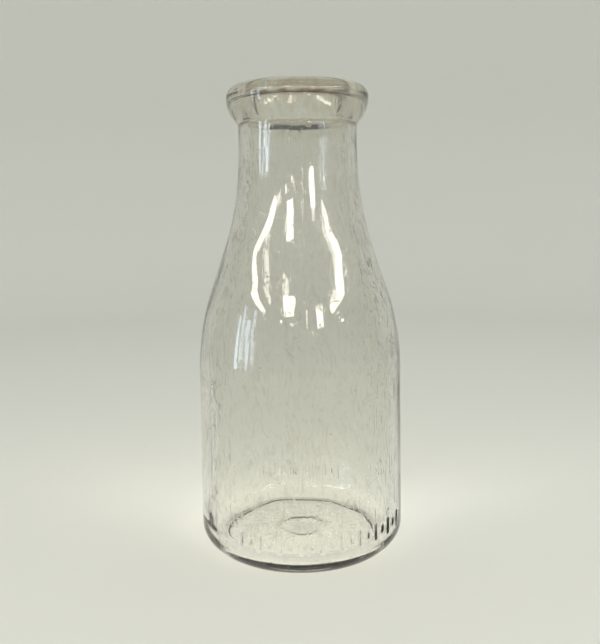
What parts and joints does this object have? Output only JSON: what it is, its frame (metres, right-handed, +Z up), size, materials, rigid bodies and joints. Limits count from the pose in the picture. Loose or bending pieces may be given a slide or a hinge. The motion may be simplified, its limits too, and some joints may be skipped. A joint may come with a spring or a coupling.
{
  "type": "glass milk bottle",
  "caption": "Round one-pint glass milk bottle with a thick rounded lip, a disc-cap seat in the mouth and a band of plain raised bars round the heel.",
  "frame": {"origin": "middle of the circle that the bottle stands on, at table level", "axes": "+Z up the bottle's axis, out of the mouth; -Y is the front, where the longer band of heel bars is"},
  "size_m": [0.082, 0.0828, 0.184],
  "materials": {
    "clear_glass": "clear moulded glass, lightly worn"
  },
  "bodies": {
    "root": {"glass_bottle": "clear_glass"}
  },
  "joints": []
}
